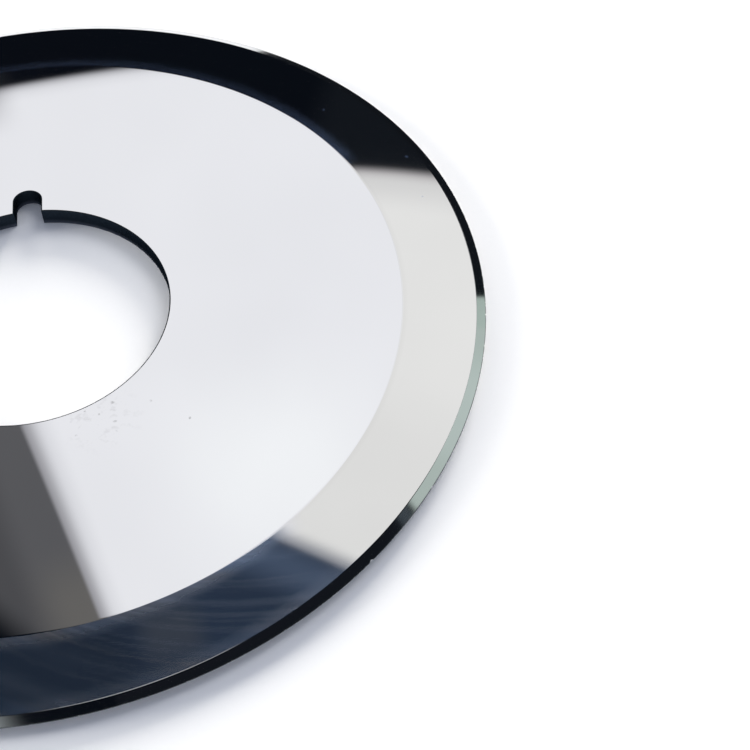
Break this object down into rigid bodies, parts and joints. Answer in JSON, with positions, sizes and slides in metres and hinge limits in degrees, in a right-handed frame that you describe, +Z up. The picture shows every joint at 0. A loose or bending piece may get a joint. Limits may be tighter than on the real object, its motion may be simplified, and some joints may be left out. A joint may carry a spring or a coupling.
{
  "type": "circular slitter knife",
  "caption": "Circular slitter knife: a flat mirror-lapped carbide disc with a double-bevel cutting rim and a keyed centre bore that slips over a slitter's arbor.",
  "frame": {"origin": "centre of the bore on the lower face, which the knife lies on", "axes": "+Z up along the bore's axis, +Y from the bore's centre towards the keyway"},
  "size_m": [0.16, 0.16, 0.0032],
  "materials": {
    "lapped_carbide": "mirror lapped faces and ground bevels"
  },
  "bodies": {
    "root": {"slitter_knife": "lapped_carbide"}
  },
  "joints": []
}
